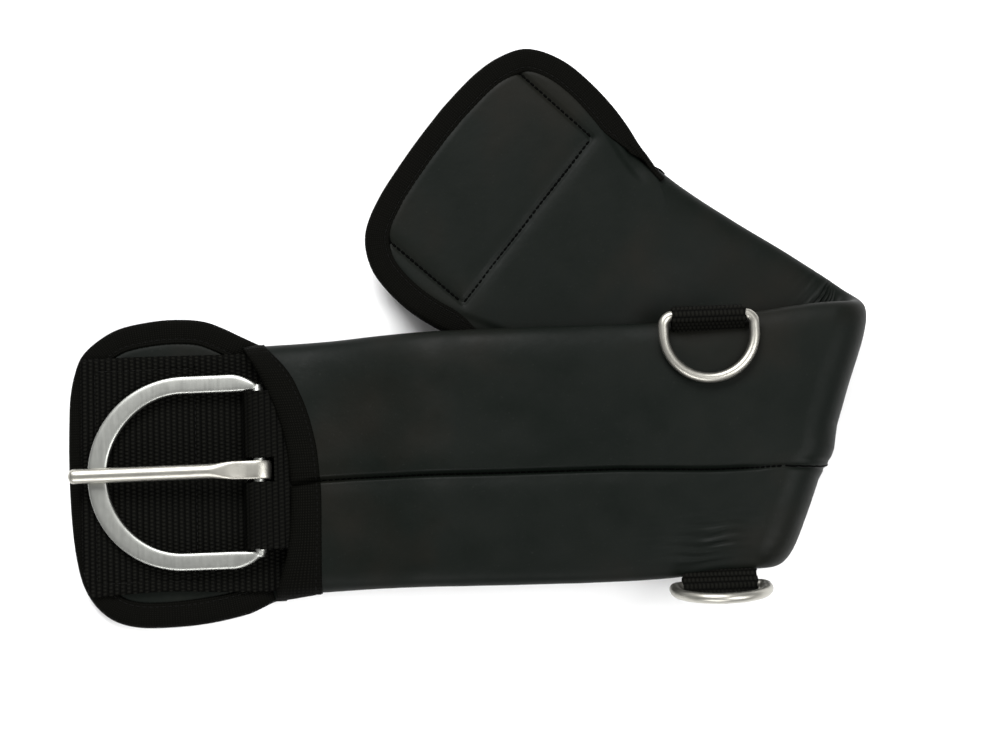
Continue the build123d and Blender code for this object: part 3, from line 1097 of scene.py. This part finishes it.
def frame_mesh(half, name):
    """The horseshoe: a flat bar bent round, its two noses pointed where they take the round bar."""
    reach = 43.15   # from the middle to the flat bar's centre line
    centre = -36.5  # of the bow, from the round bar
    flat_bar = 8.5
    upper = np.linspace((1.6, reach, 0), (centre, reach, 0), 40)
    bow = arc_points((centre, 0), reach, 90, 270, 72)[1:-1]
    lower = np.linspace((centre, -reach, 0), (1.6, -reach, 0), 40)
    path = np.concatenate([upper, bow, lower])
    nose = np.clip((path[:, 0] + 13.0) / 14.6, 0, 1)
    broad = 0.9 * smooth((-path[:, 0] - 45) / 28)
    widths = flat_bar - 6.7 * nose ** 1.7 + broad
    path[:, 1] -= np.sign(path[:, 1]) * (flat_bar - widths) * 0.52 * (nose > 0)
    path[:, 0] += 0.45 * broad
    heights = 3.8 + 0.9 * smooth(nose * 1.5) - 2.4 * smooth((nose - 0.75) / 0.25)
    rings = sweep(path, widths, heights, 4.4 - 1.6 * nose, UP, False, 36)
    return ring_mesh(name, bar_place(half, rings), satin)


def bar_mesh(half, name):
    """The round bar, its ends drawn down where the noses hold it."""
    y = np.concatenate([[-42.2, -41.9], spread(-41.2, 41.2, 1.5), [41.9, 42.2]])
    path = joined(0 * y, y, 0 * y)
    size = 3.9 + 2.1 * smooth((41.4 - np.abs(y)) / 2.6) - 1.4 * (np.abs(y) > 42)
    rings = sweep(path, size, size, 2.0, UP, False, 24)
    return ring_mesh(name, bar_place(half, rings), satin)


def tongue_mesh(half, name):
    """The tongue: a round pin, a flattened neck and a flat eye turned round the bar."""
    rise = 5.2  # of the pin's centre line over the bar's
    pin = np.linspace((-92.6, 0, rise), (-17, 0, rise), 60)
    part = np.linspace(0, 1, 12)
    neck = joined(11 * part - 16, 0 * part, rise - 1.1 * smooth(part))
    a = np.radians(np.linspace(104, -196, 44))
    eye = joined(5.2 * np.cos(a), 0 * a, 4.3 * np.sin(a))
    path = np.concatenate([pin, neck, eye])
    past_pin = np.arange(len(path)) - len(pin)
    nose = np.sqrt(np.clip(1 - (1 - np.clip(travelled(path) / 2.6, 0, 1)) ** 2, 0.02, 1))
    flat = np.where(past_pin >= 6, 1.0, smooth((path[:, 0] + 24) / 14))
    widths = (7.3 + 1.8 * flat) * nose
    heights = (6.0 - 2.6 * flat) * nose - 1.45 * smooth((past_pin - 4) / 14)
    side = np.tile([0, 1.0, 0], (len(path), 1))
    top = np.cross(unit(np.gradient(path, axis=0)), side)
    rings = section_rings(path, side, top, widths, heights, 2.0 + 2.4 * flat, 26)
    return ring_mesh(name, bar_place(half, rings), polished)


def ring_path():
    """The ring's centre line: a bar along X through the origin and an arc that reaches to -Y."""
    half, depth, bend = 21.85, 30.5, 4.6
    straight = depth - half
    bar = np.linspace((-half + bend, 0, 0), (half - bend, 0, 0), 20)
    right = arc_points((half - bend, -bend), bend, 90, 0, 12)[1:]
    right_leg = np.linspace((half, -bend, 0), (half, -straight, 0), 6)[1:-1]
    bow = arc_points((0, -straight), half, 0, -180, 64)
    left_leg = np.linspace((-half, -straight, 0), (-half, -bend, 0), 6)[1:-1]
    left = arc_points((-half + bend, -bend), bend, 180, 90, 12)[:-1]
    return np.concatenate([bar, right, right_leg, bow, left_leg, left])


def ring_piece(name, pivot, angle):
    """A welded ring of 5 mm wire, turned about its bar by an angle in degrees."""
    rings = sweep(ring_path(), 5.0, 5.0, 2.0, UP, True, 24)
    a = math.radians(angle)
    y = rings[..., 1] * math.cos(a) - rings[..., 2] * math.sin(a)
    z = rings[..., 1] * math.sin(a) + rings[..., 2] * math.cos(a)
    return ring_mesh(name, joined(rings[..., 0], y, z) + pivot, polished, closed=True)


def tab_piece(name, pivot, outward, root):
    """A folded web tab: both plies leave the sleeve's edge and meet round the ring's bar."""
    radius = 3.6
    half_wide = 17.5
    root = np.array(root)
    to_root = root - pivot[1:]
    turn = math.atan2(to_root[1], to_root[0]) + outward * np.radians(np.linspace(72, 288, 30))
    bend = pivot[1:] + radius * joined(np.cos(turn), np.sin(turn))
    path, at = evenly(np.concatenate([[root + 0.9 * unit(bend[0] - root)], bend, [root]]), 0.4)
    normals = normals_of(path)
    outer = np.where(np.sum(normals * (path - pivot[1:]), axis=1) < 0, -1, 1)
    x = spread(-half_wide, half_wide, 0.6)
    xx, ll = np.meshgrid(x, at, indexing="ij")
    ribs = np.sqrt(np.abs(np.sin(math.pi * ll / RIB))) - 1
    floats = np.cos(2 * math.pi * xx / FLOAT + math.pi * np.floor(ll / RIB))
    rise = 0.45 * ribs + 0.14 * floats - 0.4 * (1 - smooth((half_wide - np.abs(xx)) / 1.3))
    plies = path + (normals * outer[:, None]) * rise[..., None]
    points = np.concatenate([(pivot[0] + xx)[..., None], plies], axis=-1)
    faces = grid_faces(len(x), len(at))
    uv = uv_mm(ll, xx)
    piece = make_mesh(name, points, faces if outward > 0 else turned(faces), webbing, uv)
    return thicken(piece, 1.7, 0.0)


for half in (Near, Far):
    body = half.body
    add(pad_tape(half, body + "_pad_tape"), body, "binding", body + "_pad_binding")
    for piece in tape_stitches(half, body + "_pad_thread"):
        add(piece, body, "binding")
    add(mouth_binding(half, body + "_mouth_tape"), body, "binding", body + "_mouth_binding")
    add(mouth_stitches(half, body + "_mouth_thread"), body, "binding")
    add(closing_stitches(half, body + "_closing_thread"), body, "binding")
    add(core_web(half, body + "_wear_web"), body, "webbing", body + "_core_web")
    add(box_stitches(half, body + "_box_thread"), body, "webbing")
    add(buckle_web(half, body + "_bar_web"), body, "webbing", body + "_buckle_web")
    add(frame_mesh(half, body + "_horseshoe"), body + "_frame", "satin_steel", body + "_buckle_frame")
    add(bar_mesh(half, body + "_round_bar"), body + "_frame", "satin_steel")
    add(tongue_mesh(half, body + "_pin"), body + "_tongue", "polished_steel", body + "_buckle_tongue")
add(back_box_stitches(Far, "far_back_thread"), "far", "binding")

for place, angle in (("upper", 0), ("lower", -76)):
    pivot = joint_point(place + "_ring_swing")
    add(ring_piece(place + "_dee", pivot, angle), place + "_ring", "polished_steel", place + "_ring")
for place, outward, root in (("upper", 1, (57.0, 31.5)), ("lower", -1, (-57.0, 30.5))):
    pivot = joint_point(place + "_ring_swing")
    add(tab_piece(place + "_tab_web", pivot, outward, root), "near", "webbing", place + "_ring_tab")
for label, span, bodies in STRETCHES:
    add_bend(fold_web("bend_web_" + label, *span), span, bodies, "webbing", "fold_core_web")
    add_bend(bend_stitches("bend_thread_" + label, *span), span, bodies, "binding")


# ---------------------------------------------------------------- floor, light and camera
def stage_floor():
    """A pale sheet level with the belt's lowest point."""
    mesh = bpy.data.meshes.new("floor")
    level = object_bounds()[0][2]
    corners = [(-6.0, -6.0, level), (6.0, -6.0, level), (6.0, 6.0, level), (-6.0, 6.0, level)]
    mesh.from_pydata(corners, [], [(0, 1, 2, 3)])
    floor = bpy.data.objects.new("floor", mesh)
    bpy.context.scene.collection.objects.link(floor)
    material, _, shader = node_material("floor_paper")
    shader.inputs["Base Color"].default_value = (0.93, 0.93, 0.93, 1)
    shader.inputs["Roughness"].default_value = 0.9
    mesh.materials.append(material)


def area_light(name, place, size, power):
    """A soft rectangular light that faces the belt."""
    light = bpy.data.lights.new(name, "AREA")
    light.shape = "RECTANGLE"
    light.size, light.size_y = size
    light.energy = power
    obj = bpy.data.objects.new(name, light)
    obj.location = place
    facing = Vector((-0.05, 0.03, 0.0)) - Vector(place)
    obj.rotation_euler = facing.to_track_quat("-Z", "Y").to_euler()
    bpy.context.scene.collection.objects.link(obj)


stage_floor()
area_light("key", (-0.5, 1.3, 1.3), (1.1, 0.9), 46)
area_light("fill", (0.9, -0.3, 1.5), (0.9, 1.2), 26)
area_light("front", (-0.5, -1.4, 1.1), (1.2, 0.6), 18)
world = bpy.data.worlds.new("studio")
world.use_nodes = True
world.node_tree.nodes["Background"].inputs["Color"].default_value = (1.0, 1.0, 1.0, 1)
world.node_tree.nodes["Background"].inputs["Strength"].default_value = 0.40
bpy.context.scene.world = world

# The camera, in metres: what it aims at, and how wide a field it sees at that distance.
AIM = Vector((-0.0988, 0.0458, 0.018))
ELEVATION = math.radians(82)
ROLL = math.radians(-2.1)
DISTANCE = 1.15
WIDE = 0.491
camera_data = bpy.data.cameras.new("camera")
camera_data.sensor_width = 36
camera_data.lens = 36 * DISTANCE / WIDE
camera_data.clip_end = 20
camera = bpy.data.objects.new("camera", camera_data)
back = Vector((0, -math.cos(ELEVATION), math.sin(ELEVATION)))
facing = back.to_track_quat("Z", "Y").to_matrix().to_4x4()
camera.matrix_world = Matrix.Translation(AIM + back * DISTANCE) @ facing @ Matrix.Rotation(ROLL, 4, "Z")
bpy.context.scene.collection.objects.link(camera)
bpy.context.scene.camera = camera
bpy.context.scene.view_settings.view_transform = "Standard"
